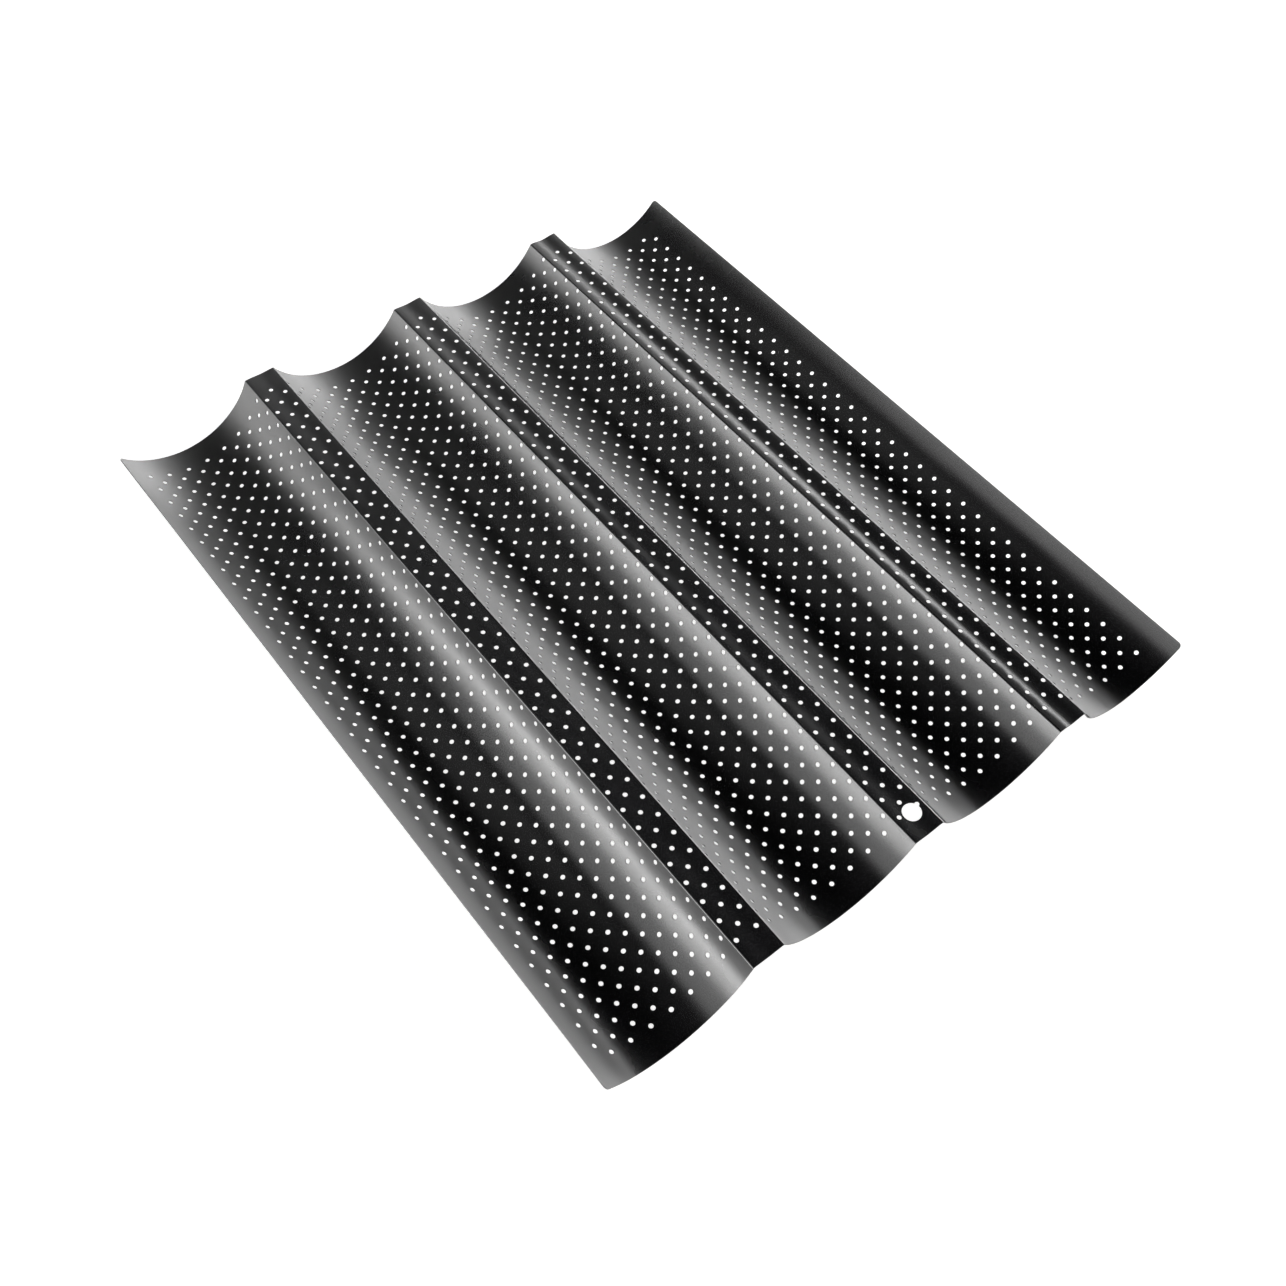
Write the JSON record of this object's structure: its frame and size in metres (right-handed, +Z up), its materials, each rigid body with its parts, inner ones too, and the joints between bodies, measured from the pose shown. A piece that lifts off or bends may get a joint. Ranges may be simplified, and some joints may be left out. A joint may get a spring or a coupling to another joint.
{
  "type": "baguette tray",
  "caption": "Perforated black-coated steel sheet pressed into parallel round troughs, open at both ends, that hold long loaves in shape while they prove and bake.",
  "frame": {"origin": "middle of the rectangle that the tray covers, at the height of the table it stands on", "axes": "+X across the troughs, +Y along the troughs away from the end with the hanging hole, +Z up"},
  "size_m": [0.3268, 0.38, 0.0251],
  "materials": {
    "channel_1": "satin black non-stick coating",
    "channel_2": "satin black non-stick coating",
    "channel_3": "satin black non-stick coating",
    "channel_4": "satin black non-stick coating",
    "ridge_1": "satin black non-stick coating",
    "ridge_2": "satin black non-stick coating",
    "ridge_3": "satin black non-stick coating"
  },
  "bodies": {
    "root": {"channel_1": "channel_1", "channel_2": "channel_2", "channel_3": "channel_3", "channel_4": "channel_4", "ridge_1": "ridge_1", "ridge_2": "ridge_2", "ridge_3": "ridge_3"}
  },
  "joints": []
}
